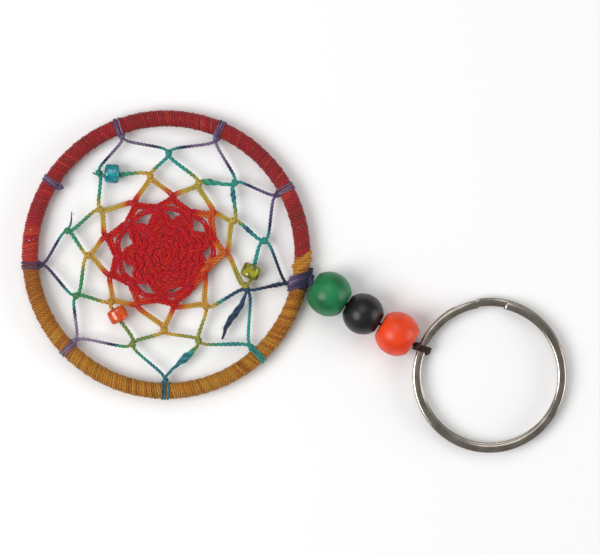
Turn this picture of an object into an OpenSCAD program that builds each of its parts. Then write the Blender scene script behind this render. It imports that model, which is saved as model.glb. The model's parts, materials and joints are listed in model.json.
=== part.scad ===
// Dream catcher keyring, lying flat with its web facing up: a wire hoop wound with thread, a knotted
// web with three small glass beads, a looped string of three wooden beads, and a split key ring.
// Origin: the hoop's centre, on the surface that it lies on. +Z is up, and +X runs from the hoop's
// centre through the tie where the string is looped on. Lengths are in millimetres, angles in degrees.

/* [Hoop] */
// Outer diameter of the wound hoop
hoop_d = 47; // [39:0.5:58]
// Thickness of the wound hoop
hoop_t = 2.7; // [2.2:0.05:3.3]
// Diameter of the steel wire inside the winding
hoop_wire_d = 1.8; // [1.4:0.1:2.1]
// Thickness that the finishing turns add over the winding, beside the tie
wrap_end_t = 0.2; // [0.1:0.05:0.3]

/* [Web] */
// Thread thickness in the first round, next to the hoop
thread_1_d = 0.5; // [0.4:0.05:0.6]
// Thread thickness in the second round
thread_2_d = 0.6; // [0.45:0.05:0.75]
// Thread thickness in the third and fourth rounds, where the strands lie double
thread_3_d = 0.8; // [0.6:0.05:1]
// Diameter of a web knot
knot_d = 1.1; // [0.9:0.05:1.35]
// Width of a web hitch along the hoop
hitch_w = 0.9; // [0.7:0.05:1.1]
// How far a web hitch stands out of the winding
hitch_proud = 0.2; // [0.1:0.05:0.3]
// Thickness of the woven centre
centre_t = 1.5; // [1.2:0.1:2]

/* [Glass beads] */
// Diameter of a glass bead
seed_d = 3.2; // [2.6:0.1:3.9]
// Length of a glass bead along its hole
seed_l = 2.4; // [2:0.1:2.9]
// Hole in a glass bead
seed_bore_d = 1; // [0.85:0.05:1.2]

/* [Cord] */
// Thickness of the dark cord where it is looped and pressed flat
cord_t = 0.5; // [0.4:0.05:0.6]
// Width of a loop's two strands side by side
loop_w = 1.1; // [0.9:0.05:1.35]
// Diameter of the doubled cord through the wooden beads
string_d = 0.9; // [0.7:0.05:1.1]
// Diameter of the knot between the last bead and the key ring
end_knot_d = 1.2; // [1:0.05:1.45]
// Direction of the string as it lies, from the hoop's radius through the tie
string_angle = -21; // [-23:1:20]

/* [Wooden beads] */
// Diameter of the green bead, next to the hoop
bead_green_d = 7.3; // [6:0.1:8.8]
// Diameter of the black bead
bead_black_d = 6.7; // [5.5:0.1:8.1]
// Diameter of the orange bead, next to the key ring
bead_orange_d = 7.2; // [6:0.1:8.7]
// Length of a wooden bead along its hole, between its flattened ends
bead_l = 6.3; // [5.2:0.1:6.6]
// Hole in a wooden bead
bead_bore_d = 1.8; // [1.5:0.1:2.2]

/* [Key ring] */
// Outer diameter of the split ring
ring_d = 25; // [20:0.5:30]
// Width of the flat wire, across the ring
ring_band_w = 1.4; // [1.1:0.1:1.7]
// Height of one of the ring's two turns
ring_turn_h = 0.83; // [0.65:0.01:1]
// Angle over which the wire climbs from the lower turn to the upper one
ring_ramp_a = 34; // [26:1:42]
// Direction from the cord's loop to the middle of the key ring, as it lies
ring_angle = -12; // [-32:1:8]

/* [Clearances] */
// Radial gap between a cord loop and what it runs round
loop_gap = 0.05; // [0.03:0.01:0.1]
// Gap between neighbouring beads and knots on the string
bead_gap = 0.05; // [0.03:0.01:0.1]
// Gap between a wooden bead and a cord loop beside it
bead_loop_gap = 0.12; // [0.1:0.01:0.2]
// Gap between the split ring's two turns
turn_gap = 0.04; // [0.02:0.01:0.08]

/* [Hidden] */
$fn = 48;

// The cord loop goes under the hoop, so its outside sets the height of the hoop and its web.
hoop_r = (hoop_d - hoop_t) / 2;
hoop_loop_out = hoop_t / 2 + loop_gap + cord_t;
hoop_z = hoop_loop_out;

// The winding changes colour twice; the gold thread ends beside the tie, under its finishing turns.
red_from = 9;
red_to = 194;
wrap_end_from = 3;

// Where the web is hitched to the hoop, and the depth that a hitch's thread bites into the winding
anchor_angles = [-38, -4, 38, 76, 120, 157, 194, 233, 279];
hitch_bite = 0.2;
anchor_r = hoop_r - hoop_t / 2 - knot_d / 4;

// Knots of each round: angle round the hoop, and distance from its centre as a share of its radius.
// Each knot hangs on the thread between two knots of the round outside it.
knots_1 = [
    [-14, 0.646], [17.5, 0.727], [56, 0.727], [98, 0.745], [139, 0.777],
    [176, 0.745], [214, 0.727], [259, 0.7], [300, 0.677]
];
knots_2 = [
    [-12, 0.623], [36, 0.555], [75, 0.573], [111, 0.591], [155, 0.587],
    [190, 0.573], [230, 0.533], [278, 0.555], [317, 0.479]
];
knots_3 = [
    [11, 0.433], [51, 0.456], [93, 0.424], [131, 0.438], [173, 0.46],
    [210, 0.433], [249, 0.42], [288, 0.375], [340, 0.316]
];
knots_4 = [
    [30, 0.352], [71, 0.343], [111, 0.339], [151, 0.357], [191, 0.352],
    [229, 0.325], [268, 0.325], [314, 0.3], [354, 0.316]
];
// The hitch whose thread is broken, and the strands that each round lacks, counted along its route:
// both at that hitch, and the third round's last one, whose thread runs on into the fourth
broken_hitch = 5;
missing_1 = [2 * broken_hitch - 1, 2 * broken_hitch];
missing_3 = [2 * len(knots_3) - 1];
// The woven centre's edge, as a share of the hoop's radius
centre_share = 0.28;

// Sides of the thread and of its knots
thread_sides = 8;
knot_sides = 12;

// The tail is tied at the first knot and lies along to this place on the thread of the first round.
tail_end = [313, 0.745];
tail_d = 1.2;

// Heights and distances along the string, measured from the axis of the hoop's tube at the tie
bead_z = max(bead_green_d, bead_black_d, bead_orange_d) / 2;
green_clear = bead_green_d / 2 + hoop_loop_out + bead_loop_gap;
green_at = sqrt(pow(green_clear, 2) - pow(bead_z - hoop_z, 2));
bead_step = bead_l + bead_gap;
black_at = green_at + bead_step;
orange_at = black_at + bead_step;
end_knot_at = orange_at + bead_l / 2 + bead_gap + end_knot_d / 2;
loop_top = max(0, pow(hoop_loop_out, 2) - pow(bead_z - string_d / 2 - hoop_z, 2));
string_start = norm([sqrt(loop_top), loop_w / 2]) + bead_gap;

// The ring's loop is drawn tight round the flat wire, whose corners press into the cord.
ring_h = 2 * ring_turn_h + turn_gap;
ring_mid_r = (ring_d - ring_band_w) / 2;
corner_bite = 0.12;
ring_loop_out = norm([ring_band_w / 2 + loop_gap, ring_h / 2 + loop_gap]) - corner_bite + cord_t;
ring_z = ring_loop_out - ring_h / 2;
orange_clear = bead_orange_d / 2 + ring_loop_out + bead_loop_gap;
loop_at = orange_at + sqrt(pow(orange_clear, 2) - pow(bead_z - ring_loop_out, 2));

// The climb starts here round the ring. The wire's two ends stop just short of it, and its section is
// a trace smaller than the turns, so that it runs a little way into both.
ramp_from = 103;
ramp_steps = 8;
ramp_inset = 0.01;
ramp_run_in = 1;
end_cut_a = 1.5;

// A place in the web: angle round the hoop and share of its radius
function web_point(knot) = [hoop_r * knot[1] * cos(knot[0]), hoop_r * knot[1] * sin(knot[0])];
function web_points(knots) = [for (k = knots) web_point(k)];
anchor_points = [for (a = anchor_angles) [anchor_r * cos(a), anchor_r * sin(a)]];

// Thread route of a round: from each outer knot in to the round's own knot, and on to the next
function zigzag(outer, inner) = [for (i = [0 : len(inner) - 1]) each [outer[i], inner[i]]];

// Ball on a web point
module ball(at, d) {
    translate([at.x, at.y, hoop_z])
        sphere(d = d);
}

// Straight thread between two web points, with round ends
module strand(from, to, d) {
    hull() {
        ball(from, d, $fn = thread_sides);
        ball(to, d, $fn = thread_sides);
    }
}

// One round of the web, whose last strand runs back to its first point. The missing strands, counted
// from 0 along the route, are left out.
module web_round(outer, inner, d, missing = []) {
    route = zigzag(outer, inner);
    for (i = [0 : len(route) - 1])
        if (len(search(i, missing)) == 0)
            strand(route[i], route[(i + 1) % len(route)], d);
    for (p = inner)
        ball(p, knot_d, $fn = knot_sides);
}

// Part of the winding: a round tube bent along the hoop, hollow where the wire or winding inside is
module hoop_sleeve(outer_d, inner_d, from, to) {
    translate([0, 0, hoop_z])
        rotate_extrude(angle = to - from, start = from, $fn = 128)
            translate([hoop_r, 0])
                difference() {
                    circle(d = outer_d);
                    circle(d = inner_d);
                }
}

// Flat band of cord or thread wound round the X axis, with chamfered outer edges
module wound_band(outer_r, t, w) {
    c = t / 4;
    inner_r = outer_r - t;
    rotate([0, 90, 0])
        rotate_extrude()
            polygon([
                [inner_r, -w / 2], [outer_r - c, -w / 2], [outer_r, c - w / 2],
                [outer_r, w / 2 - c], [outer_r - c, w / 2], [inner_r, w / 2]
            ]);
}

// Moves a piece that is drawn along +X to the string: 0 is the axis of the hoop's tube at the tie.
module on_string(at, z) {
    translate([hoop_r, 0, z])
        rotate([0, 0, string_angle])
            translate([at, 0, 0])
                children();
}

// Moves a piece that is drawn round the loop's centre, with the key ring towards +X.
module at_ring_loop() {
    on_string(loop_at, 0)
        rotate([0, 0, ring_angle - string_angle])
            children();
}

// Round bead with flattened ends and a true hole, its hole along X
module round_bead(d, l, bore_d) {
    rotate([0, 90, 0])
        difference() {
            intersection() {
                sphere(d = d);
                cylinder(h = l, d = d + 1, center = true);
            }
            cylinder(h = l + 1, d = bore_d, center = true);
        }
}

// Distance from a knot to the middle of the glass bead on its strand towards a point. The bead is
// pushed up against the knot, or against the knot's next strand, which runs beside it.
function seed_at(knot, to, beside, beside_d) =
    let (
        run = to - knot,
        other = beside - knot,
        turn = acos(run * other / norm(run) / norm(other))
    )
    max((knot_d + seed_l) / 2, (seed_d + beside_d) / 2 / sin(turn)) + bead_gap;

// Glass bead on the strand from one web point to another, beside the first one's next strand
module seed_bead(from, to, beside, beside_d) {
    run = to - from;
    spot = from + run / norm(run) * seed_at(from, to, beside, beside_d);
    translate([spot.x, spot.y, hoop_z])
        rotate([0, 0, atan2(run.y, run.x)])
            round_bead(seed_d, seed_l, seed_bore_d);
}

// The split ring's climbing stretch: a rectangular section swept along an arc and eased upwards
function ramp_section(t) =
    let (
        a = ring_ramp_a * t + ramp_run_in * (2 * t - 1),
        low = (ring_turn_h + turn_gap) * (1 - cos(180 * t)) / 2 + ramp_inset,
        high = low + ring_turn_h - 2 * ramp_inset,
        inner = (ring_d / 2 - ring_band_w + ramp_inset) * [cos(a), sin(a)],
        outer = (ring_d / 2 - ramp_inset) * [cos(a), sin(a)]
    )
    [[each inner, low], [each outer, low], [each outer, high], [each inner, high]];

module ring_ramp() {
    corners = [for (i = [0 : ramp_steps]) each ramp_section(i / ramp_steps)];
    sides = [
        for (i = [0 : ramp_steps - 1], s = [0 : 3])
            let (a = 4 * i + s, b = 4 * i + (s + 1) % 4)
            each [[b, a + 4, a], [b + 4, a + 4, b]]
    ];
    first = 4 * ramp_steps;
    polyhedron(
        points = corners,
        faces = concat(sides, [[3, 2, 1, 0], [first, first + 1, first + 2, first + 3]])
    );
}

// One flat turn of the split ring, standing on z = 0
module ring_turn(from, to) {
    rotate_extrude(angle = to - from, start = from, $fn = 96)
        translate([ring_d / 2 - ring_band_w, 0])
            square([ring_band_w, ring_turn_h]);
}

// ---- Hoop and winding ----

module hoop_wire() {
    color("silver")
        translate([0, 0, hoop_z])
            rotate_extrude($fn = 128)
                translate([hoop_r, 0])
                    circle(d = hoop_wire_d);
}

module wrap_red() {
    color("firebrick")
        hoop_sleeve(hoop_t, hoop_wire_d, red_from, red_to);
}

module wrap_gold() {
    color("darkgoldenrod")
        hoop_sleeve(hoop_t, hoop_wire_d, red_to, red_from + 360);
}

module wrap_end() {
    color("goldenrod")
        hoop_sleeve(hoop_t + 2 * wrap_end_t, hoop_t, wrap_end_from, red_from);
}

// ---- Web ----

module web_hitches() {
    color("rebeccapurple")
        for (a = anchor_angles)
            rotate([0, 0, a])
                translate([hoop_r, 0, hoop_z])
                    rotate([0, 0, 90])
                        wound_band(hoop_t / 2 + hitch_proud, hitch_proud + hitch_bite, hitch_w);
}

module web_round_1() {
    color("slateblue") {
        web_round(anchor_points, web_points(knots_1), thread_1_d, missing_1);
        for (i = [0 : len(anchor_points) - 1])
            if (i != broken_hitch)
                ball(anchor_points[i], knot_d, $fn = knot_sides);
    }
}

module web_round_2() {
    color("teal")
        web_round(web_points(knots_1), web_points(knots_2), thread_2_d);
}

module web_round_3() {
    color("gold")
        web_round(web_points(knots_2), web_points(knots_3), thread_3_d, missing_3);
}

module web_round_4() {
    color("darkorange") {
        web_round(web_points(knots_3), web_points(knots_4), thread_3_d);
        for (k = knots_4)
            strand(web_point(k), web_point([k[0], centre_share]), thread_3_d);
    }
}

module web_centre() {
    centre_r = hoop_r * centre_share;
    flat_r = centre_r * 0.6;
    half_t = centre_t / 2;
    color("crimson")
        translate([0, 0, hoop_z])
            rotate_extrude($fn = 96)
                polygon([
                    [0, -half_t], [flat_r, -half_t], [centre_r, -half_t / 2],
                    [centre_r, half_t / 2], [flat_r, half_t], [0, half_t]
                ]);
}

module loose_tail() {
    from = web_point(knots_1[0]);
    run = web_point(tail_end) - from;
    color("steelblue")
        translate([from.x, from.y, hoop_z])
            rotate([0, 0, atan2(run.y, run.x)])
                rotate([0, 90, 0]) {
                    cylinder(h = norm(run) / 2, d1 = thread_1_d, d2 = tail_d);
                    translate([0, 0, norm(run) / 2])
                        cylinder(h = norm(run) / 2, d1 = tail_d, d2 = thread_1_d);
                }
}

module seed_bead_teal() {
    color("darkcyan")
        seed_bead(web_point(knots_1[4]), web_point(knots_2[3]), anchor_points[4], thread_1_d);
}

module seed_bead_olive() {
    color("olive")
        seed_bead(web_point(knots_2[0]), web_point(knots_1[1]), web_point(knots_3[0]), thread_3_d);
}

module seed_bead_orange() {
    color("orangered")
        seed_bead(web_point(knots_2[6]), web_point(knots_1[7]), web_point(knots_3[6]), thread_3_d);
}

// ---- String of wooden beads ----

module hoop_loop() {
    color("saddlebrown")
        translate([hoop_r, 0, hoop_z])
            rotate([0, 0, 90])
                wound_band(hoop_loop_out, cord_t, loop_w);
}

module bead_cord() {
    color("saddlebrown") {
        on_string(string_start, bead_z)
            rotate([0, 90, 0])
                cylinder(h = end_knot_at - string_start, d = string_d);
        on_string(end_knot_at, bead_z)
            sphere(d = end_knot_d);
    }
}

module bead_green() {
    color("seagreen")
        on_string(green_at, bead_z)
            round_bead(bead_green_d, bead_l, bead_bore_d);
}

module bead_black() {
    color("black")
        on_string(black_at, bead_z)
            round_bead(bead_black_d, bead_l, bead_bore_d);
}

module bead_orange() {
    color("orangered")
        on_string(orange_at, bead_z)
            round_bead(bead_orange_d, bead_l, bead_bore_d);
}

// ---- Key ring ----

module ring_loop() {
    groove_r = ring_d / 2 + loop_gap;
    color("saddlebrown")
        at_ring_loop()
            difference() {
                translate([0, 0, ring_loop_out])
                    rotate([0, 0, 90])
                        wound_band(ring_loop_out, cord_t, loop_w);
                translate([ring_mid_r, 0, ring_z - loop_gap])
                    rotate_extrude($fn = 96)
                        translate([groove_r - ring_band_w - 2 * loop_gap, 0])
                            square([ring_band_w + 2 * loop_gap, ring_h + 2 * loop_gap]);
            }
}

module split_ring() {
    color("lightgray")
        at_ring_loop()
            translate([ring_mid_r, 0, ring_z])
                rotate([0, 0, ramp_from]) {
                    ring_turn(ring_ramp_a + end_cut_a, 360);
                    ring_ramp();
                    translate([0, 0, ring_turn_h + turn_gap])
                        ring_turn(ring_ramp_a, 360 - end_cut_a);
                }
}

hoop_wire();
wrap_red();
wrap_gold();
wrap_end();
web_hitches();
web_round_1();
web_round_2();
web_round_3();
web_round_4();
web_centre();
loose_tail();
seed_bead_teal();
seed_bead_olive();
seed_bead_orange();
hoop_loop();
bead_cord();
bead_green();
bead_black();
bead_orange();
ring_loop();
split_ring();
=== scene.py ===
"""Dream catcher keyring: a wire hoop wound with dyed thread, a knotted web with glass beads, a looped
string of three painted wooden beads, and a split key ring. It lies flat, and is seen from above."""

import json
import math

import bmesh
import bpy
import numpy as np
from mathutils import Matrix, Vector


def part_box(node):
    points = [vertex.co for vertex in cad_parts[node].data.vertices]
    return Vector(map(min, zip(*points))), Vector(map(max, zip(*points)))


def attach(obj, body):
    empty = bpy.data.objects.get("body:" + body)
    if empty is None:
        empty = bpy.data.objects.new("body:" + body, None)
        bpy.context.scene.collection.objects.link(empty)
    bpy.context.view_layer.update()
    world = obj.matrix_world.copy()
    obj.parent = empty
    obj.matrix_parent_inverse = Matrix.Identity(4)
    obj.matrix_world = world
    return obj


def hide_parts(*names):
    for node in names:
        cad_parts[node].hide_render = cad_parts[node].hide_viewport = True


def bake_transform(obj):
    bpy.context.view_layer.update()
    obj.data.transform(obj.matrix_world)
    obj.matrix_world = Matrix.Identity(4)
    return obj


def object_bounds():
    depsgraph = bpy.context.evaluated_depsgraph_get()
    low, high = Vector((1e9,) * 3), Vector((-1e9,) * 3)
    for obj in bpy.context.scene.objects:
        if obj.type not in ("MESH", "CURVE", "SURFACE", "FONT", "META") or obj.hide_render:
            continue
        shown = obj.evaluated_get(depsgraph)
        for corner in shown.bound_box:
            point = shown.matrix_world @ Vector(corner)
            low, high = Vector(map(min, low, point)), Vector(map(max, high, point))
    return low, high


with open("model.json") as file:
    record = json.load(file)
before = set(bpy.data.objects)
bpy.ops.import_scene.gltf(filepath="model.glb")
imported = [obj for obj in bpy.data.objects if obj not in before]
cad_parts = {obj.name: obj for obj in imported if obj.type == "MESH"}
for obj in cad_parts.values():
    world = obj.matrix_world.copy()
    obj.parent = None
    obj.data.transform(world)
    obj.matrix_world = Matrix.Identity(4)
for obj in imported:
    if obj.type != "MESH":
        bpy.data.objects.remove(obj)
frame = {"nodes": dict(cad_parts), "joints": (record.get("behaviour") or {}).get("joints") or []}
cad_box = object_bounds()
bpy.ops.object.select_all(action="DESELECT")

MM = 0.001


# ---- Hoop wire --------------------------------------------------------------------------------------
# A ring of drawn steel wire, welded shut, that carries the winding and the web. The winding covers all
# of it.

wire_low, wire_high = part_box("hoop_wire")
wire_r = (wire_high.z - wire_low.z) / 2
hoop_z = (wire_high.z + wire_low.z) / 2
hoop_r = wire_high.x - wire_r


class Socket:
    """One output of a shader node. Sums and products of sockets and numbers add their Math nodes."""

    def __init__(self, finish, output):
        self.finish = finish
        self.output = output

    def __add__(self, other):
        return self.finish.maths("ADD", self, other)

    __radd__ = __add__

    def __mul__(self, other):
        return self.finish.maths("MULTIPLY", self, other)

    __rmul__ = __mul__

    def __sub__(self, other):
        return self.finish.maths("SUBTRACT", self, other)

    def __rsub__(self, other):
        return self.finish.maths("SUBTRACT", other, self)


class Finish:
    """A material with one Principled shader, whose constants are set on the shader's own sockets."""

    def __init__(self, name, constants):
        self.material = bpy.data.materials.new(name)
        self.material.use_nodes = True
        self.tree = self.material.node_tree
        self.shader = self.tree.nodes["Principled BSDF"]
        self.paint(constants)

    def feed(self, socket, value):
        """Gives a socket a value, or links an output to it."""
        if isinstance(value, Socket):
            self.tree.links.new(value.output, socket)
        else:
            socket.default_value = value

    def add(self, kind, settings, sockets, output=0):
        """A node of a type, with its settings, the values or links of its sockets, and one output."""
        node = self.tree.nodes.new(kind)
        for name, value in settings.items():
            if name == "stops":
                self.set_stops(node.color_ramp, value)
            else:
                setattr(node, name, value)
        for name, value in sockets.items():
            self.feed(node.inputs[name], value)
        return Socket(self, node.outputs[output])

    def set_stops(self, ramp, stops):
        """Gives a ramp its stops in place of the two that it starts with."""
        ramp.elements.remove(ramp.elements[1])
        ramp.elements[0].position = stops[0][0]
        ramp.elements[0].color = (*stops[0][1], 1)
        for place, colour in stops[1:]:
            ramp.elements.new(place).color = (*colour, 1)

    def maths(self, operation, first, second):
        return self.add("ShaderNodeMath", {"operation": operation}, {0: first, 1: second})

    def ramp(self, factor, stops):
        """Colours along a ramp, each stop being its place and its colour."""
        return self.add("ShaderNodeValToRGB", {"stops": stops}, {"Fac": factor})

    def mix(self, factor, first, second, blend="MIX"):
        """Two colours mixed, or one multiplied by the other."""
        settings = {"data_type": "RGBA", "blend_type": blend}
        return self.add("ShaderNodeMix", settings, {0: factor, 6: first, 7: second}, 2)

    def noise(self, size, detail):
        """Soft noise on the object's coordinates, with blotches about this size."""
        place = self.add("ShaderNodeTexCoord", {}, {}, "Object")
        sockets = {"Vector": place, "Scale": 1 / size, "Detail": detail}
        return self.add("ShaderNodeTexNoise", {}, sockets)

    def attribute(self, name):
        """A number that the mesh holds at each of its points."""
        return self.add("ShaderNodeAttribute", {"attribute_name": name}, {}, "Fac")

    def bump(self, height, depth, strength=1.0):
        return self.add("ShaderNodeBump", {}, {"Strength": strength, "Distance": depth, "Height": height})

    def paint(self, sockets):
        """Feeds the shader's sockets, by name."""
        for name, value in sockets.items():
            self.feed(self.shader.inputs[name], value)

    def on(self, piece):
        piece.data.materials.clear()
        piece.data.materials.append(self.material)


drawn_steel = Finish("drawn_steel", {"Metallic": 1.0})
draw_lines = drawn_steel.noise(0.4 * MM, 3.0)
drawn_steel.paint({
    "Base Color": drawn_steel.ramp(draw_lines, [(0.3, (0.34, 0.34, 0.35)), (0.7, (0.55, 0.55, 0.56))]),
    "Roughness": draw_lines * 0.2 + 0.25,
    "Normal": drawn_steel.bump(draw_lines, 0.01 * MM),
})
drawn_steel.on(frame["nodes"]["hoop_wire"])


# ---- Red and gold winding ---------------------------------------------------------------------------
# Thread wound close round the wire, four strands at a time, so that the turns lean a little. The thread
# is dyed in a run of colours: it is brick red and crimson on one half, and gold and brown on the other.

WINDING_D = 0.5 * MM
WINDING_PITCH = 0.41 * MM
WINDING_STRANDS = 4
FAT_STRAND = 1.08
PLACES_A_TURN = 24
COIL_R = wire_r + WINDING_D / 2 - 0.03 * MM
WINDING_R = wire_r + WINDING_D - 0.05 * MM
WINDING_HAIRS = 70
WINDING_HAIR_L = 0.7 * MM
FIBRE_D = 0.035 * MM
PLY_GROOVE = 0.27

# Hoop angles in degrees: red meets gold beside the tie, and again across the hoop from it.
RED_TO = 194
BRICK_SPAN = 35
BRICK_SHARE = 0.75
RED_UNDER_TURNS = 1.5
finish_low, finish_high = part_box("wrap_end")
finish_tube_r = (finish_high.z - finish_low.z) / 2
red_from = math.degrees(math.asin(finish_high.y / (hoop_r + finish_tube_r)))
chance = np.random.default_rng(11)


def crosswise(ahead):
    """Two directions across a path at each place, carried along it without spinning round it."""
    side = np.empty_like(ahead)
    start = np.cross(ahead[0], (0, 0, 1))
    if np.linalg.norm(start) < 0.1:
        start = np.cross(ahead[0], (1, 0, 0))
    side[0] = start / np.linalg.norm(start)
    for i in range(1, len(ahead)):
        turned = side[i - 1] - ahead[i] * side[i - 1].dot(ahead[i])
        side[i] = turned / math.sqrt(turned.dot(turned))
    return side, np.cross(ahead, side)


class Skein:
    """Lengths of thread that become one mesh, with its dye and the share of painted shade that darkens
    the grooves between its plies.
    """

    def __init__(self):
        self.points, self.quads, self.caps = [], [], []
        self.dye, self.groove, self.uv = [], [], []
        self.count = 0

    def ring_mesh(self, rings, dye, groove, uv):
        """Skin over rings of points, closed at both ends."""
        places, sides = rings.shape[:2]
        here = self.count + sides * np.arange(places - 1)[:, None] + np.arange(sides)[None, :]
        beside = self.count + sides * np.arange(places - 1)[:, None] + (np.arange(sides) + 1) % sides
        self.quads.append(np.stack([here, beside, beside + sides, here + sides], -1).reshape(-1, 4))
        last = self.count + sides * (places - 1)
        self.caps.append(list(range(self.count, self.count + sides))[::-1])
        self.caps.append(list(range(last, last + sides)))
        self.points.append(rings.reshape(-1, 3))
        self.dye.append(np.repeat(dye, sides))
        self.groove.append(groove.reshape(-1))
        self.uv.append(uv)
        self.count += places * sides

    def lay(self, path, thickness, dye, plies=3, sides=12, lay_length=3.2):
        """Twisted thread along a path. Its thickness and its dye may change from place to place, and
        one turn of its plies is lay_length thicknesses long."""
        path = np.asarray(path, float)
        places = len(path)
        radius = np.broadcast_to(np.asarray(thickness, float) / 2, places)
        shade = np.broadcast_to(np.asarray(dye, float), places)
        ahead = np.gradient(path, axis=0)
        ahead /= np.linalg.norm(ahead, axis=1)[:, None]
        side, up = crosswise(ahead)
        step = np.linalg.norm(np.diff(path, axis=0), axis=1)
        run = np.concatenate([[0], np.cumsum(step)])
        around = 2 * math.pi * np.arange(sides) / sides
        hollow = (1 - np.cos(plies * around)) / 2 if plies else np.zeros(sides)
        turn = run / (lay_length * 2 * radius.max()) * 2 * math.pi if plies else 0 * run
        angle = around[None, :] + turn[:, None]
        reach = radius[:, None] * (1 - PLY_GROOVE * hollow[None, :])
        spoke = np.cos(angle)[..., None] * side[:, None] + np.sin(angle)[..., None] * up[:, None]
        rings = path[:, None] + spoke * reach[..., None]
        along = run / (2 * radius.max())
        low, high = along[:-1, None], along[1:, None]
        v = np.arange(sides)[None, :] / sides
        corner_u = np.stack([low + 0 * v, low + 0 * v, high + 0 * v, high + 0 * v], -1)
        corner_v = np.stack([v, v + 1 / sides, v + 1 / sides, v], -1) + 0 * corner_u
        uv = np.stack([corner_u, corner_v], -1).reshape(-1, 2)
        # Each ply groove's depth is kept too, for the painted shade in the grooves.
        self.ring_mesh(rings, shade, np.tile(hollow, places), uv)

    def fluff(self, centre, spread, hairs, length, dye):
        """Loose fibres that stand off the thread round a place."""
        for _ in range(hairs):
            root = centre + chance.normal(0, 1, 3) * spread * (1, 1, 0.4)
            heading = chance.normal(0, 1, 3) * (1, 1, 0.6)
            heading /= np.linalg.norm(heading)
            curl = np.cross(heading, chance.normal(0, 1, 3)) * chance.uniform(0.2, 0.7)
            t = np.linspace(0, 1, 6)[:, None]
            path = root + (heading * t + curl * t**2) * length * chance.uniform(0.5, 1.2)
            path[:, 2] = np.maximum(path[:, 2], 0.1 * MM)
            self.lay(path, FIBRE_D * (1 - 0.6 * t[:, 0]), dye, plies=0, sides=3)

    def piece(self, name, body, nodes, slot, finish):
        """The mesh as a piece that moves with its body and stands for its CAD nodes. A piece without
        a body is left unattached."""
        mesh = bpy.data.meshes.new(name)
        quads = np.concatenate(self.quads)
        mesh.from_pydata(np.concatenate(self.points).tolist(), [], quads.tolist() + self.caps)
        for label, values in (("dye", self.dye), ("groove", self.groove)):
            stored = mesh.attributes.new(label, "FLOAT", "POINT")
            stored.data.foreach_set("value", np.concatenate(values).astype(np.float32))
        corners = np.zeros((len(mesh.loops), 2), np.float32)
        corners[: quads.size] = np.concatenate(self.uv)
        mesh.uv_layers.new(name="along").data.foreach_set("uv", corners.ravel())
        mesh.shade_smooth()
        piece = bpy.data.objects.new(name, mesh)
        bpy.context.scene.collection.objects.link(piece)
        finish.on(piece)
        if body:
            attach(piece, body)
            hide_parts(*nodes)
        return piece


def wander(count, stretch):
    """Smooth chance values from -1 to 1, which change over this many places."""
    knots = chance.uniform(-1, 1, int(count / stretch) + 3)
    return np.interp(np.arange(count) / stretch, np.arange(len(knots)), knots)


def on_tube(hoop_angle, tube_angle, distance):
    """Places round the hoop's tube. Tube angle 0 is its outer side, and a quarter turn its top."""
    out = hoop_r + distance * np.cos(tube_angle)
    height = hoop_z + distance * np.sin(tube_angle)
    return np.stack([out * np.cos(hoop_angle), out * np.sin(hoop_angle), height], -1)


def dyed_thread(name, stops, gloss=0.0):
    """Spun cotton: fine fibres along it, painted shade that darkens the grooves between its plies, and
    dye that isn't even.
    """
    finish = Finish(name, {"Sheen Weight": 0.16, "Sheen Roughness": 0.45, "Specular IOR Level": 0.22})
    dye = finish.attribute("dye") + (finish.noise(0.9 * MM, 3.0) - 0.5) * 0.09
    colour = finish.ramp(dye, stops)
    blotch = finish.noise(0.35 * MM, 4.0) * 0.7 + 0.62
    # Painted shade: the colour is darkened where the plies' grooves are, on top of random blotches in the
    # fibre's own tone.
    shade = blotch * (1.05 - 0.6 * finish.attribute("groove"))
    tone_and_groove_shade = finish.add("ShaderNodeCombineColor", {}, {0: shade, 1: shade, 2: shade})
    place = finish.add("ShaderNodeUVMap", {"uv_map": "along"}, {})
    fibres = finish.add("ShaderNodeMapping", {}, {"Vector": place, "Scale": (1.2, 16, 1)})
    fibres = finish.add("ShaderNodeTexNoise", {}, {"Vector": fibres, "Scale": 1.0, "Detail": 3.0})
    finish.paint({
        "Base Color": finish.mix(1.0, colour, tone_and_groove_shade, "MULTIPLY"),
        "Roughness": 0.85 - gloss - fibres * 0.2,
        "Normal": finish.bump(fibres, 0.03 * MM, 0.8),
    })
    return finish


red_winding = dyed_thread("red_winding", [
    (0.0, (0.18, 0.012, 0.015)), (0.3, (0.36, 0.022, 0.019)), (0.55, (0.46, 0.016, 0.028)),
    (0.75, (0.68, 0.075, 0.026)), (1.0, (0.25, 0.02, 0.075)),
], 0.15)
gold_winding = dyed_thread("gold_winding", [
    (0.0, (0.62, 0.115, 0.03)), (0.12, (0.38, 0.12, 0.012)), (0.3, (0.47, 0.16, 0.014)),
    (0.55, (0.6, 0.225, 0.019)), (0.8, (0.62, 0.31, 0.03)), (1.0, (0.32, 0.24, 0.03)),
], 0.15)


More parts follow.
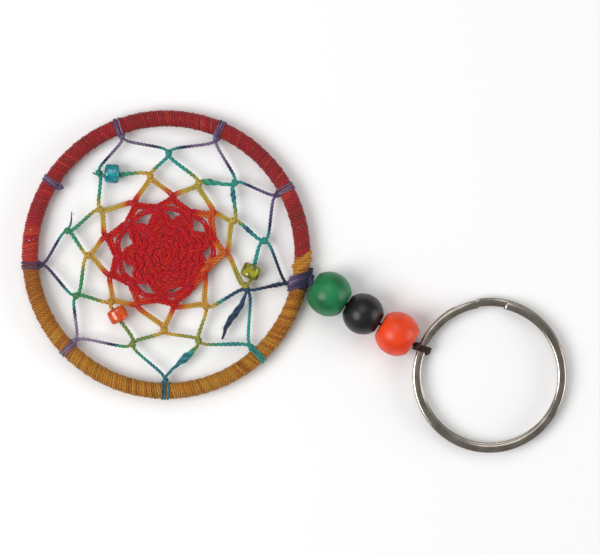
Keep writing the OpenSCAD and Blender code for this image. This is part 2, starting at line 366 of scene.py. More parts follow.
def wind(skein, start, end, dye_range, brick):
    """Winding between two hoop angles, in degrees. Its dye wanders along each strand, and nears the
    brick dye where red meets gold."""
    arc = math.radians(end - start) * hoop_r
    turns = arc / (WINDING_STRANDS * WINDING_PITCH) + 1
    places = int(turns * PLACES_A_TURN)
    turn = np.linspace(-1, turns - 1, places)
    for strand in range(WINDING_STRANDS):
        fat = FAT_STRAND if strand == 0 else 1.0
        along = (strand + 0.5 + turn * WINDING_STRANDS) * WINDING_PITCH
        along += 0.05 * MM * wander(places, PLACES_A_TURN * 1.3)
        keep = (along > 0) & (along < arc)
        lift = (fat - 1) * WINDING_D + 0.035 * MM * wander(places, PLACES_A_TURN * 0.8)
        path = on_tube(math.radians(start) + along / hoop_r, -2 * math.pi * turn, COIL_R + lift)
        low, high = dye_range
        dye = (low + high) / 2 + (high - low) / 2 * wander(places, PLACES_A_TURN * 1.1)
        from_change = np.abs(start + np.degrees(along / hoop_r) - RED_TO)
        dye += (brick - dye) * BRICK_SHARE * np.clip(1 - from_change / BRICK_SPAN, 0, 1)
        skein.lay(path[keep], WINDING_D * fat, dye[keep], sides=12, lay_length=4)
    for _ in range(WINDING_HAIRS):
        at = math.radians(chance.uniform(start, end))
        root = on_tube(at, chance.uniform(0, 2 * math.pi), WINDING_R)
        skein.fluff(root, 0, 1, WINDING_HAIR_L, 0.5)


red_skein = Skein()
wind(red_skein, red_from - RED_UNDER_TURNS, RED_TO + 0.3, (0.16, 0.68), 0.76)
red_skein.piece("winding_red", "hoop", ["wrap_red"], "red_thread", red_winding)

gold_skein = Skein()
wind(gold_skein, RED_TO, red_from + 360, (0.14, 0.95), 0.0)
gold_skein.piece("winding_gold", "hoop", ["wrap_gold"], "gold_thread", gold_winding)


# ---- Finishing turns --------------------------------------------------------------------------------
# The gold thread's end is doubled and laid over the winding beside the tie, in two fat turns that lean
# well over, and its tip is tucked under them.

FINISH_D = 1.0 * MM
FINISH_TURNS = 2
FINISH_PITCH = 1.0 * MM
FINISH_LEAN = 0.95 * MM
FINISH_PROUD = 0.2 * MM
FINISH_TUCK = 0.3 * MM
finish_r = finish_tube_r - FINISH_D / 2 + FINISH_PROUD
finish_from = math.atan2(finish_low.y, finish_high.x) * hoop_r + FINISH_D / 2

end_skein = Skein()
turn = np.linspace(-0.45, FINISH_TURNS - 0.55, FINISH_TURNS * 28)
along = finish_from + 0.1 * MM + (turn + 0.45) * FINISH_PITCH + FINISH_LEAN * np.cos(2 * math.pi * turn)
dye = 0.68 + 0.14 * wander(len(turn), 18)
tuck = FINISH_TUCK * np.clip(np.abs(turn - turn.mean()) * 2 - FINISH_TURNS + 1.2, 0, 1)
end_skein.lay(on_tube(along / hoop_r, -2 * math.pi * turn, finish_r - tuck), FINISH_D, dye, 5, 20)
end_skein.piece("finishing_turns", "hoop", ["wrap_end"], "gold_thread", gold_winding)


# ---- Web hitches ------------------------------------------------------------------------------------
# Where the web's thread is hitched to the hoop: three turns round the winding, pulled tight, and a small
# knot on the inside. The dye is violet here, paler or bluer at some hitches.

# Places along the web thread's run of dyes.
LILAC, VIOLET, NAVY, BLUE, TEAL, GREEN = 0.0, 0.09, 0.18, 0.27, 0.37, 0.46
OLIVE, YELLOW, GOLD, ORANGE, RED, CRIMSON, ROSE = 0.55, 0.63, 0.71, 0.8, 0.88, 0.95, 1.0
DYE_STOPS = [
    (LILAC, (0.36, 0.28, 0.42)), (VIOLET, (0.12, 0.075, 0.19)), (NAVY, (0.03, 0.032, 0.065)),
    (BLUE, (0.03, 0.11, 0.2)), (TEAL, (0.035, 0.36, 0.3)), (GREEN, (0.06, 0.31, 0.12)),
    (OLIVE, (0.27, 0.31, 0.06)), (YELLOW, (0.62, 0.45, 0.08)), (GOLD, (0.66, 0.33, 0.045)),
    (ORANGE, (0.7, 0.16, 0.02)), (RED, (0.64, 0.03, 0.01)), (CRIMSON, (0.56, 0.003, 0.008)),
    (ROSE, (0.62, 0.012, 0.03)),
]
web_thread = dyed_thread("web_thread", DYE_STOPS)

HITCH_D = 0.36 * MM
HITCH_TURNS = 3
KNOT_D = 1.35 * MM
KNOT_HAIRS = 9

# The hitches' knots lie just inside the winding, as a share of the hoop's radius. Each hitch is its hoop
# angle in degrees, and its dye.
HITCH_KNOT_R = (hoop_r - WINDING_R - 0.3 * MM) / hoop_r
HITCHES = [
    (-38, TEAL), (-4, NAVY), (38, 0.08), (76, 0.05), (120, 0.06), (157, 0.07),
    (194, 0.12), (233, 0.02), (279, 0.31),
]


def web_place(angle, share):
    """A place in the web: its angle round the hoop, and its distance out as a share of the hoop's."""
    out = hoop_r * share
    return np.array([out * math.cos(math.radians(angle)), out * math.sin(math.radians(angle)), hoop_z])


def coil(centre, axis, radius, turns, rise, start=0.0, places=14):
    """Turns about an axis through a place. The rise is the whole length along the axis."""
    axis = np.asarray(axis, float) / np.linalg.norm(axis)
    level = np.cross(axis, (0, 0, 1))
    level = level / np.linalg.norm(level) if np.linalg.norm(level) > 0.1 else np.array([1.0, 0, 0])
    upright = np.cross(axis, level)
    t = np.linspace(0, 1, int(turns * places) + 1)[:, None]
    angle = start + 2 * math.pi * turns * t
    return centre + axis * rise * (t - 0.5) + radius * (np.cos(angle) * level + np.sin(angle) * upright)


def knot(skein, centre, thread_d, size, dye):
    """A half hitch drawn tight: turns round the way out, and turns across them."""
    outward = centre * (1, 1, 0)
    outward /= np.linalg.norm(outward)
    across = np.cross(outward, (0, 0, 1))
    lean = chance.uniform(-0.4, 0.4)
    reach = (size - thread_d) / 2
    start = chance.uniform(0, 2 * math.pi)
    first = coil(centre, across + lean * outward, reach, 1.7, thread_d * 1.1, start)
    second = coil(centre, outward - lean * across, reach * 0.9, 1.6, thread_d, start + 2)
    skein.lay(first, thread_d, dye + 0.02)
    skein.lay(second, thread_d, dye - 0.02)
    skein.fluff(centre, size * 0.3, KNOT_HAIRS, 0.8 * MM, dye)


hitch_skein = Skein()
for angle, dye in HITCHES:
    middle = math.radians(angle)
    turn = np.linspace(-0.5, HITCH_TURNS - 0.5, HITCH_TURNS * 28)
    along = ((turn - 1) * HITCH_D * 1.1 + 0.12 * MM * wander(len(turn), 9)) / hoop_r
    lift = WINDING_R + HITCH_D * 0.08
    strand_dye = dye + 0.06 * wander(len(turn), 12)
    hitch_skein.lay(on_tube(middle + along, 2 * math.pi * turn, lift), HITCH_D, strand_dye)
hitch_skein.piece("web_hitches_wound", "hoop", ["web_hitches"], "violet_thread", web_thread)


# ---- Web --------------------------------------------------------------------------------------------
# One long thread, hitched round the hoop and then round and round on itself, each new knot hanging on
# the strand between two older ones. It changes colour on its way in, and runs double from the third
# round on. One thread is broken by the hitch at 157 degrees, and its ends stand loose.

# Each knot is its angle in degrees, its distance out as a share of the hoop's radius, and its dye.
OUTER = [(angle, HITCH_KNOT_R, dye) for angle, dye in HITCHES]
KNOTS_1 = [
    (-14, 0.646, 0.25), (17.5, 0.727, 0.36), (56, 0.727, TEAL), (98, 0.745, TEAL), (139, 0.777, 0.38),
    (176, 0.745, 0.44), (214, 0.727, GREEN), (259, 0.7, 0.52), (300, 0.677, 0.57),
]
KNOTS_2 = [
    (-12, 0.623, 0.59), (36, 0.555, 0.62), (75, 0.573, 0.61), (111, 0.591, 0.68), (155, 0.587, 0.63),
    (190, 0.573, 0.67), (230, 0.533, 0.72), (278, 0.555, 0.7), (317, 0.479, 0.7),
]
KNOTS_3 = [
    (11, 0.433, ORANGE), (51, 0.456, 0.84), (93, 0.424, 0.92), (131, 0.438, 0.93), (173, 0.46, 0.92),
    (210, 0.433, 0.94), (249, 0.42, 0.88), (288, 0.375, 0.93), (340, 0.316, 0.87),
]
KNOTS_4 = [
    (30, 0.352, 0.93), (71, 0.343, 0.97), (111, 0.339, 0.98), (151, 0.357, 0.98), (191, 0.352, 0.97),
    (229, 0.325, 0.97), (268, 0.325, 0.95), (314, 0.3, 0.95), (354, 0.316, 0.83),
]

# The hitch whose thread is broken, how far out the loops inside the third round's knots reach, the step
# between places on a path, and the thread's thickness in each round.
BROKEN = 5
TIP_SHARE = 0.79
STEP = 0.13 * MM
WEB_D = [0.56 * MM, 0.66 * MM, 0.5 * MM, 0.66 * MM]
STRAND_HAIR_PLACES = 3


def smooth_path(corners, step=STEP):
    """Even places along a smooth curve through the corners."""
    corners = np.asarray(corners, float)
    before, after = 2 * corners[0] - corners[1], 2 * corners[-1] - corners[-2]
    p = np.vstack([before, corners, after])
    t = np.linspace(0, 1, 12, endpoint=False)[:, None]
    spans = [
        b + (c - a) * t / 2 + (2 * a - 5 * b + 4 * c - d) * t**2 / 2 + (3 * b - 3 * c + d - a) * t**3 / 2
        for a, b, c, d in zip(p, p[1:], p[2:], p[3:])
    ]
    fine = np.vstack([*spans, corners[-1:]])
    run = np.concatenate([[0], np.cumsum(np.linalg.norm(np.diff(fine, axis=0), axis=1))])
    places = np.linspace(0, run[-1], max(4, round(run[-1] / step) + 1))
    return np.column_stack([np.interp(places, run, fine[:, k]) for k in range(3)])


def strand_path(outer, inner):
    """A strand leaves its outer knot and reaches its inner one leaning a little towards the middle."""
    inward = -(outer + inner) * (1, 1, 0)
    inward /= np.linalg.norm(inward)
    span = inner - outer
    length = np.linalg.norm(span)
    lean = (0.72 * span / length + 0.28 * inward) * length * 0.2
    lift = np.array([0, 0, chance.uniform(-0.08, 0.08) * MM])
    return smooth_path([outer, outer + lean, inner - lean + lift, inner])


def web_strand(skein, outer, inner, thread_d, doubled=False, slub=None):
    """One strand between two knots, each given as angle, share and dye. A slub is a fat, loosely spun
    stretch: its place along the strand, its fatness and its dye."""
    path = strand_path(web_place(*outer[:2]), web_place(*inner[:2]))
    t = np.linspace(0, 1, len(path))
    turned = np.clip((t - 0.45) / 0.5, 0, 1)
    dye = outer[2] + (inner[2] - outer[2]) * turned**2 * (3 - 2 * turned)
    thickness = thread_d * (1 + 0.06 * wander(len(path), 12))
    if slub:
        place, fatness, slub_dye = slub
        swell = np.exp(-(((t - place) / 0.17) ** 2))
        thickness *= 1 + fatness * swell
        dye += (slub_dye - dye) * swell
        middle = path[int(place * (len(path) - 1))]
        skein.fluff(middle, 0.4 * MM, int(22 * fatness) + 4, 0.8 * MM, slub_dye)
    if doubled:
        ahead = path[-1] - path[0]
        across = np.cross(ahead / np.linalg.norm(ahead), (0, 0, 1))
        sway = 0.9 + 0.1 * np.cos(np.linspace(0, math.pi * 2, len(path)))
        for side in (1, -1):
            apart = side * thread_d * 0.48 * sway[:, None] * across
            skein.lay(path + apart, thickness, dye + 0.015 * side)
    else:
        skein.lay(path, thickness, dye)
    for place in chance.uniform(0.1, 0.9, STRAND_HAIR_PLACES):
        i = int(place * (len(path) - 1))
        skein.fluff(path[i], 0.12 * MM, 2, 0.6 * MM, dye[i])


def web_round(skein, outer, inner, thread_d, doubled=False, missing=(), slubs=None):
    """A round of the web: from each outer knot in to the round's own knot, and on to the next. Missing
    strands and slubs go by the strand's number in the round."""
    route = [end for pair in zip(outer, inner) for end in pair]
    for i, start in enumerate(route):
        end = route[(i + 1) % len(route)]
        if i not in missing:
            ends = (end, start) if i % 2 else (start, end)
            web_strand(skein, *ends, thread_d, doubled, (slubs or {}).get(i))


def tie_knots(skein, knots, thread_d, size):
    """A knot at each place of a round."""
    for angle, share, dye in knots:
        knot(skein, web_place(angle, share), thread_d, size, dye)


round_1 = Skein()
web_round(round_1, OUTER, KNOTS_1, WEB_D[0], missing=(2 * BROKEN - 1, 2 * BROKEN), slubs={
    1: (0.3, 0.5, 0.2), 17: (0.35, 0.25, 0.33), 16: (0.6, 1.5, 0.31),
})
tie_knots(round_1, OUTER, HITCH_D, KNOT_D)
tie_knots(round_1, KNOTS_1, 0.48 * MM, KNOT_D)
broken_at = web_place(*KNOTS_1[BROKEN][:2])
broken_end = smooth_path([
    broken_at,
    broken_at + np.array([0.35, 1.5, 0.25]) * MM,
    broken_at + np.array([0.15, 3.3, 0.5]) * MM,
])
fade = np.linspace(0, 1, len(broken_end))
round_1.lay(broken_end, 0.5 * MM * (1 - 0.85 * fade**1.5), 0.42 - 0.3 * fade)
round_1.fluff(broken_end[-4], 0.1 * MM, 6, 1.0 * MM, VIOLET)
stub_at = web_place(*KNOTS_1[BROKEN - 1][:2])
stub = smooth_path([
    stub_at,
    stub_at + np.array([-0.5, -0.25, 0.1]) * MM,
    stub_at + np.array([-1.0, -0.15, 0.3]) * MM,
])
round_1.lay(stub, 0.5 * MM * np.linspace(1, 0.4, len(stub)), 0.3)
round_1.piece("web_first_round", "hoop", ["web_round_1"], "slate_thread", web_thread)

round_2 = Skein()
web_round(round_2, KNOTS_1, KNOTS_2, WEB_D[1], slubs={
    4: (0.72, 0.9, 0.4), 3: (0.35, 0.45, 0.3), 7: (0.4, 0.3, 0.42), 2: (0.55, 0.3, 0.26),
})
tie_knots(round_2, KNOTS_2, 0.5 * MM, KNOT_D * 1.05)
round_2.piece("web_second_round", "hoop", ["web_round_2"], "teal_thread", web_thread)

round_3 = Skein()
web_round(round_3, KNOTS_2, KNOTS_3, WEB_D[2], doubled=True, missing=(2 * len(KNOTS_3) - 1,))
tie_knots(round_3, KNOTS_3, 0.5 * MM, KNOT_D * 1.05)
round_3.piece("web_third_round", "hoop", ["web_round_3"], "yellow_thread", web_thread)

round_4 = Skein()
web_round(round_4, KNOTS_3, KNOTS_4, WEB_D[3], doubled=True)
for i, (angle, share, dye) in enumerate(KNOTS_3):
    tip = (angle, share * TIP_SHARE, 0.95)
    for beside in (KNOTS_4[i - 1], KNOTS_4[i]):
        web_strand(round_4, beside, tip, WEB_D[2], doubled=True)
tie_knots(round_4, KNOTS_4, 0.5 * MM, KNOT_D)
round_4.piece("web_fourth_round", "hoop", ["web_round_4"], "amber_thread", web_thread)


# ---- Woven centre -----------------------------------------------------------------------------------
# The middle is woven close with the same thread, now crimson: it runs round and round, over and under
# an odd number of spokes, so that each round goes over where the last one went under.

SPOKES = 27
WEAVE_ROUNDS = 10
WEAVE_D = 0.78 * MM
WEAVE_SWING = 0.2 * MM
WEAVE_HAIRS = 150

# How far out the weave reaches between its arms, as a share of the hoop's radius, and how narrow those
# gaps are. The arms run to the fourth round's knots.
GAP_SHARE = 0.258
GAP_NARROW = 3
SPOKE_D = 0.4 * MM
ARM_D = 0.55 * MM
ARM_LEAN = 5


def weave_rim(angle):
    """The weave's edge: out at the knots of the fourth round, and in at narrow gaps between them."""
    outs = [(knot_angle, share - 0.022) for knot_angle, share, _ in KNOTS_4]
    turned = outs[1:] + [(outs[0][0] + 360, outs[0][1])]
    gaps = [((a[0] + b[0]) / 2, GAP_SHARE) for a, b in zip(outs, turned)]
    marks = sorted((a % 360, share) for a, share in outs + gaps)
    marks = [(marks[-1][0] - 360, marks[-1][1])] + marks + [(marks[0][0] + 360, marks[0][1])]
    at, share = np.array(marks).T
    turned = np.degrees(angle) % 360
    after = np.searchsorted(at, turned)
    t = (turned - at[after - 1]) / (at[after] - at[after - 1])
    from_gap = np.where(share[after] > share[after - 1], t, 1 - t)
    low, high = np.minimum(share[after], share[after - 1]), np.maximum(share[after], share[after - 1])
    return hoop_r * (high - (high - low) * np.cos(from_gap * math.pi / 2) ** GAP_NARROW)


weave = Skein()
angle = np.linspace(0, 2 * math.pi * (WEAVE_ROUNDS - 0.35), 190 * WEAVE_ROUNDS)
turned_in = 1 - angle / (2 * math.pi * WEAVE_ROUNDS)
out = weave_rim(angle) * turned_in + 0.05 * MM * wander(len(angle), 9)
swing = WEAVE_SWING * np.cos(SPOKES * angle / 2)
path = np.stack([out * np.cos(angle), out * np.sin(angle), hoop_z + swing], -1)
dye = CRIMSON + 0.04 * wander(len(angle), 11)
even = smooth_path(path[::2], 0.16 * MM)
even_dye = np.interp(np.linspace(0, 1, len(even)), np.linspace(0, 1, len(dye)), dye)
weave.lay(even, WEAVE_D * (1 + 0.12 * wander(len(even), 7)), even_dye)
for i in range(SPOKES):
    angle = 2 * math.pi * i / SPOKES
    rim = weave_rim(np.array([angle]))[0]
    inner = max(0.8 * MM, (i % 3) * 1.4 * MM)
    ends = [np.array([r * math.cos(angle), r * math.sin(angle), hoop_z]) for r in (rim, inner)]
    weave.lay(smooth_path(ends, 0.25 * MM), SPOKE_D, CRIMSON, sides=8, plies=2)
for angle, share, _ in KNOTS_4:
    for lean in (-ARM_LEAN, ARM_LEAN):
        ends = [web_place(angle, share), web_place(angle + lean, GAP_SHARE * 0.9)]
        weave.lay(smooth_path(ends), ARM_D, CRIMSON)
for _ in range(WEAVE_HAIRS):
    at = chance.uniform(0, 2 * math.pi)
    out = weave_rim(np.array([at]))[0] * math.sqrt(chance.uniform(0, 1))
    centre = np.array([out * math.cos(at), out * math.sin(at), hoop_z + 0.35 * MM])
    weave.fluff(centre, 0.1 * MM, 1, 0.8 * MM, 0.96)
weave.piece("web_centre_woven", "hoop", ["web_centre"], "crimson_thread", web_thread)


# ---- Loose tail -------------------------------------------------------------------------------------
# The starting end of the web's thread, tied in at the first knot. It has come untwisted, and lies as a
# fat, soft, dark blue wisp.

TAIL_HAIRS = 4

tail_skein = Skein()
tail_from = web_place(*KNOTS_1[0][:2])
tail_to = web_place(313, 0.745)
tail_side = np.cross(tail_to - tail_from, (0, 0, 1))
tail_side = tail_side / np.linalg.norm(tail_side)
tail = smooth_path([
    tail_from, tail_from + (tail_to - tail_from) * 0.3 - tail_side * 0.25 * MM,
    tail_from + (tail_to - tail_from) * 0.7 + tail_side * 0.3 * MM, tail_to,
])
t = np.linspace(0, 1, len(tail))
tail_d = (0.35 + 0.85 * np.sin(math.pi * t) ** 1.3) * MM
tail_skein.lay(tail, tail_d, 0.24 - 0.05 * t, lay_length=4.5)
for i in range(4, len(tail) - 4, 2):
    tail_skein.fluff(tail[i], tail_d[i] * 0.3, TAIL_HAIRS, 0.8 * MM, 0.24)
tail_skein.piece("web_loose_tail", "hoop", ["loose_tail"], "slate_thread", web_thread)


# ---- Glass beads ------------------------------------------------------------------------------------
# Three small beads threaded on the web: a tube of coloured glass cut short and tumbled in a hot drum,
# which rounds its edges. Light goes some way into it.

SEED_D = 3.2 * MM
SEED_L = 2.4 * MM
SEED_BORE_D = 1.0 * MM
joints = {joint["name"]: joint for joint in frame["joints"]}


def settle(piece, joint_name, body, node):
    """Puts a bead that was made on the Z axis on its joint's axis, and rides it on its body."""
    joint = joints[joint_name]
    piece.rotation_euler = Vector(joint["axis"]).to_track_quat("Z", "X").to_euler()
    piece.location = joint["pos_m"]
    bpy.ops.object.transform_apply(location=True, rotation=True, scale=True)
    piece.data.shade_smooth()
    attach(piece, body)
    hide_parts(node)


def apply_all(piece):
    """Applies a piece's modifiers in their order."""
    for modifier in list(piece.modifiers):
        bpy.ops.object.modifier_apply(modifier=modifier.name)


def seed_glass(name, colour, deep):
    """Coloured glass, with a deeper colour in clouds."""
    finish = Finish(name, {
        "Roughness": 0.08, "IOR": 1.5, "Transmission Weight": 0.2, "Coat Weight": 0.6,
        "Coat Roughness": 0.03,
    })
    cloud = finish.noise(1.1 * MM, 2.0)
    finish.paint({
        "Base Color": finish.ramp(cloud, [(0.35, deep), (0.62, colour)]),
        "Normal": finish.bump(finish.noise(1.6 * MM, 1.0), 0.05 * MM),
    })
    return finish


def glass_bead(name, joint_name, body, node, finish):
    """A short tube with its edges rounded, on its thread."""
    wall = (SEED_D - SEED_BORE_D) / 2
    bpy.ops.mesh.primitive_cylinder_add(
        vertices=32, radius=SEED_D / 2, depth=SEED_L, end_fill_type="NOTHING")
    bead = bpy.context.object
    bead.name = name
    solid = bead.modifiers.new("wall", "SOLIDIFY")
    solid.thickness = wall
    solid.offset = -1
    rim = bead.modifiers.new("tumbled", "BEVEL")
    rim.width = wall * 0.49
    rim.segments = 4
    rim.limit_method = "ANGLE"
    smooth = bead.modifiers.new("smooth", "SUBSURF")
    smooth.levels = smooth.render_levels = 1
    apply_all(bead)
    finish.on(bead)
    settle(bead, joint_name, body, node)


glass_bead("glass_bead_teal_tumbled", "teal_bead_spin", "glass_bead_teal", "seed_bead_teal",
           seed_glass("teal_glass", (0.01, 0.42, 0.42), (0.004, 0.09, 0.2)))
glass_bead("glass_bead_olive_tumbled", "olive_bead_spin", "glass_bead_olive", "seed_bead_olive",
           seed_glass("olive_glass", (0.42, 0.42, 0.015), (0.1, 0.09, 0.005)))
glass_bead("glass_bead_orange_tumbled", "orange_glass_spin", "glass_bead_orange", "seed_bead_orange",
           seed_glass("orange_glass", (0.85, 0.12, 0.012), (0.45, 0.012, 0.004)))


# ---- Cord and its loop round the hoop ---------------------------------------------------------------
# A doubled cord holds the wooden beads. It is looped round the hoop in six tight turns of violet and navy
# thread, runs through the beads, and is knotted between the last one and the key ring.

CORD_D = 0.5 * MM
LOOP_LEAN = 0.9 * MM
LOOP_TURNS = 6
LOOP_PITCH = 0.41 * MM
LOOP_ASIDE = -0.45 * MM
NECK_DYES = (0.2, 0.14, 0.22, 0.17)
BEAD_D = {"green": 7.3 * MM, "black": 6.7 * MM, "orange": 7.2 * MM}
BEAD_L = 6.3 * MM
string_way = np.array(joints["green_bead_spin"]["axis"])
green_at = np.array(joints["green_bead_spin"]["pos_m"])
orange_at = np.array(joints["orange_bead_spin"]["pos_m"])
tie_at = np.array(joints["string_swing"]["pos_m"])
loop_low, loop_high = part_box("hoop_loop")

dark_cord = dyed_thread("dark_cord", [
    (0.0, (0.02, 0.008, 0.008)), (0.5, (0.06, 0.018, 0.015)), (1.0, (0.14, 0.05, 0.035)),
], 0.2)

loop_skein = Skein()
loop_r = (loop_high.z - loop_low.z) / 2 - CORD_D / 2
turn = np.linspace(0, LOOP_TURNS, LOOP_TURNS * 30)
around = 2 * math.pi * turn + 0.6
along = LOOP_ASIDE + (turn - LOOP_TURNS / 2) * LOOP_PITCH + LOOP_LEAN * np.cos(around)
path = tie_at + np.stack([loop_r * np.cos(around), along, loop_r * np.sin(around)], -1)
loop_skein.lay(path, CORD_D, 0.14 + 0.075 * np.cos(around) + 0.05 * wander(len(path), 20))
loop_skein.fluff(tie_at + np.array([0, 0, loop_r]), 0.7 * MM, 16, 0.7 * MM, VIOLET)
loop_skein.piece("hoop_loop_wound", "hoop_hitch", ["hoop_loop"], "violet_thread", web_thread)

neck_skein = Skein()
string_side = np.cross(string_way, (0, 0, 1))
bead_face = green_at - string_way * BEAD_L / 2
climb = np.radians(np.linspace(-30, 35, 5))
for neck_dye, aside in zip(NECK_DYES, np.linspace(-0.5, 0.5, len(NECK_DYES))):
    neck_r = loop_r + CORD_D * 0.55
    over = [neck_r * np.cos(climb), 0 * climb + aside * MM, neck_r * np.sin(climb)]
    into = [bead_face + string_side * aside * -0.5 * MM + string_way * depth for depth in (0, 0.9 * MM)]
    strand = smooth_path([*(tie_at + np.stack(over, -1)), *into])
    neck_skein.lay(strand, CORD_D, neck_dye + 0.03 * wander(len(strand), 6))
neck_skein.fluff(bead_face - string_way * 0.4 * MM, 0.4 * MM, 12, 0.6 * MM, NAVY)
neck = neck_skein.piece("string_neck", None, [], "violet_thread", web_thread)
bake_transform(neck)

cord_skein = Skein()
cord_from = bead_face - string_way * 0.15 * MM
knot_at = orange_at + string_way * (BEAD_L / 2 + 0.65 * MM)
t = np.linspace(0, 1, 170)[:, None]
for phase in (0, math.pi):
    twist = phase + t * 2 * math.pi * 5
    apart = 0.22 * MM * (np.cos(twist) * string_side + np.sin(twist) * np.array([0, 0, 1]))
    cord_skein.lay(cord_from + (knot_at - cord_from) * t + apart, 0.46 * MM, 0.4)
for lean in (-0.5, 0.6):
    turns = coil(knot_at, string_way + lean * string_side, 0.36 * MM, 1.8, CORD_D, lean)
    cord_skein.lay(turns, CORD_D, 0.5)
cord_skein.fluff(knot_at, 0.4 * MM, 12, 0.8 * MM, 0.6)
cord_skein.piece("bead_cord_twisted", "string", ["bead_cord"], "dark_cord", dark_cord)


# ---- Wooden beads -----------------------------------------------------------------------------------
# Turned wooden beads, dipped in gloss paint: green, black and orange. The ends are flat round the hole,
# and the paint has fine scuffs.

BORE_D = 1.8 * MM
EASED_EDGE = 0.6 * MM


def painted_wood(name, colour, deep, worn):
    """Gloss paint that follows the wood's grain a little, with fine scuffs."""
    finish = Finish(name, {"Coat Roughness": 0.22, "Specular IOR Level": 0.25})
    blotch = finish.noise(2.4 * MM, 3.0)
    pores = finish.noise(0.22 * MM, 3.0)
    base = finish.ramp(blotch, [(0.3, deep), (0.65, colour)])
    scuff = finish.ramp(pores, [(0.62, (0, 0, 0)), (0.72, (1, 1, 1))])
    finish.paint({
        "Base Color": finish.mix(scuff * 0.25, base, (*worn, 1)),
        "Roughness": pores * 0.2 + 0.36,
        "Coat Weight": 0.45 - blotch * 0.3,
        "Normal": finish.bump(blotch * 0.7 + pores * 0.12, 0.12 * MM),
    })
    return finish


def wooden_bead(colour, finish):
    """A ball cut flat at its ends and bored through, with its edges eased."""
    bpy.ops.mesh.primitive_uv_sphere_add(segments=64, ring_count=40, radius=BEAD_D[colour] / 2)
    bead = bpy.context.object
    bead.name = f"wooden_bead_{colour}"
    flat_r = math.sqrt((BEAD_D[colour] / 2) ** 2 - (BEAD_L / 2) ** 2)
    bpy.ops.object.mode_set(mode="EDIT")
    bpy.ops.mesh.select_mode(type="FACE")
    for end in (1, -1):
        bpy.ops.mesh.select_all(action="SELECT")
        bpy.ops.mesh.bisect(plane_co=(0, 0, end * BEAD_L / 2), plane_no=(0, 0, end),
                            use_fill=True, clear_outer=True)
        mesh = bmesh.from_edit_mesh(bead.data)
        for face in mesh.faces:
            face.select = abs(face.calc_center_median().z - end * BEAD_L / 2) < 1e-6
        bpy.ops.mesh.inset(thickness=max(flat_r - BORE_D / 2, 0.1 * MM))
        bpy.ops.mesh.delete(type="FACE")
    bpy.ops.mesh.select_mode(type="EDGE")
    bpy.ops.mesh.select_all(action="DESELECT")
    bpy.ops.mesh.select_non_manifold()
    bpy.ops.mesh.bridge_edge_loops()
    bpy.ops.mesh.select_all(action="SELECT")
    bpy.ops.mesh.normals_make_consistent(inside=False)
    bpy.ops.object.mode_set(mode="OBJECT")
    eased = bead.modifiers.new("eased", "BEVEL")
    eased.width = EASED_EDGE
    eased.segments = 6
    eased.limit_method = "ANGLE"
    apply_all(bead)
    finish.on(bead)
    settle(bead, f"{colour}_bead_spin", f"{colour}_bead", f"bead_{colour}")


wooden_bead("green", painted_wood(
    "green_paint", (0.009, 0.19, 0.06), (0.004, 0.1, 0.03), (0.05, 0.3, 0.13)))
wooden_bead("black", painted_wood(
    "black_paint", (0.008, 0.008, 0.009), (0.003, 0.003, 0.003), (0.05, 0.045, 0.04)))
wooden_bead("orange", painted_wood(
    "orange_paint", (0.82, 0.062, 0.006), (0.66, 0.03, 0.004), (0.9, 0.18, 0.06)))


# ---- Loop round the key ring ------------------------------------------------------------------------
# The cord's other end goes three times round the key ring's wire and back up to the knot.

RING_LOOP_TURNS = 3.3
RING_LOOP_W = 1.1 * MM
ring_loop_low, ring_loop_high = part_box("ring_loop")
ring_tie_at = np.array(joints["ring_swing"]["pos_m"])
ring_tie_axis = np.array(joints["ring_swing"]["axis"])
ring_loop_r = (ring_loop_high.z - ring_loop_low.z) / 2 - CORD_D / 2
ring_loop_skein = Skein()
ring_turns = coil(ring_tie_at, ring_tie_axis, ring_loop_r, RING_LOOP_TURNS, RING_LOOP_W, 0.5, 30)
ring_loop_skein.lay(ring_turns, CORD_D, 0.45)
ring_loop_skein.fluff(ring_tie_at + np.array([0, 0, ring_loop_r]), 0.4 * MM, 8, 0.7 * MM, 0.5)
ring_loop_skein.piece("ring_loop_wound", "ring_hitch", ["ring_loop"], "dark_cord", dark_cord)


# ---- Split ring -------------------------------------------------------------------------------------
# Spring-steel wire, rolled flat with rounded edges, coiled into two turns that lie on each other, and
# nickel plated. The wire climbs from the lower turn to the upper one between its two ends.

RING_D = 25 * MM
BAND_W = 1.4 * MM
TURN_H = 0.83 * MM
TURN_GAP = 0.04 * MM
SPRING = 0.14 * MM
SECTION_POWER = 3.2

# Angles round the ring, in degrees: where the climb starts, its length, the gap that is left at each end
# of the wire, and how far the ring is turned as it lies.
RAMP_FROM = 103
RAMP_ANGLE = 34
END_CUT = 1.5
RING_ANGLE = -12
ring_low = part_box("split_ring")[0]
ring_at = np.array(joints["ring_spin"]["pos_m"])

nickel = Finish("nickel_plate", {"Metallic": 1.0, "IOR": 1.6})
haze = nickel.noise(2.5 * MM, 2.0)
scratches = nickel.noise(0.15 * MM, 3.0)
nickel.paint({
    "Base Color": nickel.ramp(haze, [(0.3, (0.3, 0.26, 0.22)), (0.7, (0.46, 0.42, 0.37))]),
    "Roughness": haze * 0.08 + scratches * 0.1 + 0.1,
    "Normal": nickel.bump(scratches, 0.006 * MM),
})

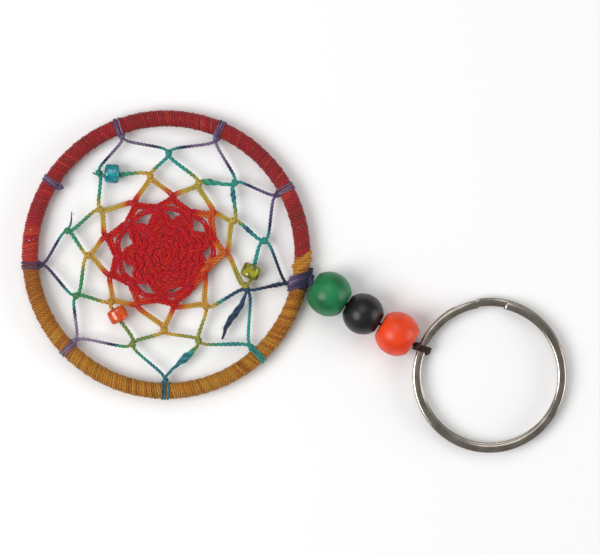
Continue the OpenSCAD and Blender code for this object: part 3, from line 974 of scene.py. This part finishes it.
lower = np.arange(RAMP_ANGLE + END_CUT, 360, 2.5)
climb = np.arange(360, 360 + RAMP_ANGLE, 1.7)
upper = np.arange(360 + RAMP_ANGLE, 720 - END_CUT, 2.5)
way = np.concatenate([lower, climb, upper])
eased = np.clip((way - 360) / RAMP_ANGLE, 0, 1)
height = ring_low.z + TURN_H / 2 + (TURN_H + TURN_GAP) * (1 - np.cos(math.pi * eased)) / 2
slip = np.radians(way + RAMP_FROM + RING_ANGLE)
spring = SPRING * np.where(way > 360 + RAMP_ANGLE / 2, 1, -1) * np.cos(slip - math.radians(250))
middle_r = RING_D / 2 - BAND_W / 2 + spring
corner = np.linspace(0, 2 * math.pi, 24, endpoint=False)
power = 2 / SECTION_POWER
wide = np.sign(np.cos(corner)) * np.abs(np.cos(corner)) ** power * BAND_W / 2
tall = np.sign(np.sin(corner)) * np.abs(np.sin(corner)) ** power * TURN_H / 2
shrink = np.ones(len(way))
shrink[[0, -1]] = 0.9
reach = middle_r[:, None] + wide[None, :] * shrink[:, None]
rings = np.stack([
    ring_at[0] + reach * np.cos(slip)[:, None],
    ring_at[1] + reach * np.sin(slip)[:, None],
    height[:, None] + tall[None, :] * shrink[:, None],
], -1)
ring_skein = Skein()
flat_uv = np.zeros(((len(way) - 1) * len(corner) * 4, 2))
ring_skein.ring_mesh(rings[:, ::-1], np.zeros(len(way)), np.zeros((len(way), len(corner))), flat_uv)
ring_skein.piece("split_ring_rolled", "key_ring", ["split_ring"], "nickel", nickel)


# ---- Floor, light and camera ------------------------------------------------------------------------
# A white table, three soft boxes and a pale sky, with the camera straight above.

PICTURE_W = 98 * MM
PICTURE_TURN = 9.5
LENS = 150

bpy.ops.mesh.primitive_plane_add(size=3)
floor = bpy.context.object
floor.name = "floor"
white = Finish("white_table", {"Roughness": 0.9, "Base Color": (0.9, 0.9, 0.9, 1)})
white.on(floor)

middle = (cad_box[0] + cad_box[1]) / 2


def soft_box(name, azimuth, elevation, distance, size, power):
    """A round soft light that looks at the object, from a bearing in the picture."""
    turn = math.radians(azimuth + PICTURE_TURN)
    rise = math.radians(elevation)
    way = Vector((math.cos(turn) * math.cos(rise), math.sin(turn) * math.cos(rise), math.sin(rise)))
    data = bpy.data.lights.new(name, "AREA")
    data.shape = "DISK"
    data.size = size
    data.energy = power
    light = bpy.data.objects.new(name, data)
    bpy.context.scene.collection.objects.link(light)
    light.location = Vector((middle.x, middle.y, 0)) + way * distance
    light.rotation_euler = way.to_track_quat("Z", "Y").to_euler()


soft_box("soft_box_left", 195, 50, 0.6, 0.42, 2.6)
soft_box("soft_box_right", -5, 20, 0.6, 0.45, 1.5)
soft_box("soft_box_top", 100, 60, 0.6, 0.5, 1.0)

world = bpy.data.worlds.new("studio")
bpy.context.scene.world = world
world.use_nodes = True
world.node_tree.nodes["Background"].inputs["Color"].default_value = (1, 1, 1, 1)
world.node_tree.nodes["Background"].inputs["Strength"].default_value = 0.28
bpy.context.scene.view_settings.view_transform = "Standard"

camera_data = bpy.data.cameras.new("camera")
camera_data.lens = LENS
camera_data.clip_start = 5 * MM
camera = bpy.data.objects.new("camera", camera_data)
bpy.context.scene.collection.objects.link(camera)
distance = PICTURE_W * LENS / camera_data.sensor_width
camera.location = (middle.x, middle.y, distance)
camera.rotation_euler = (0, 0, math.radians(PICTURE_TURN))
bpy.context.scene.camera = camera
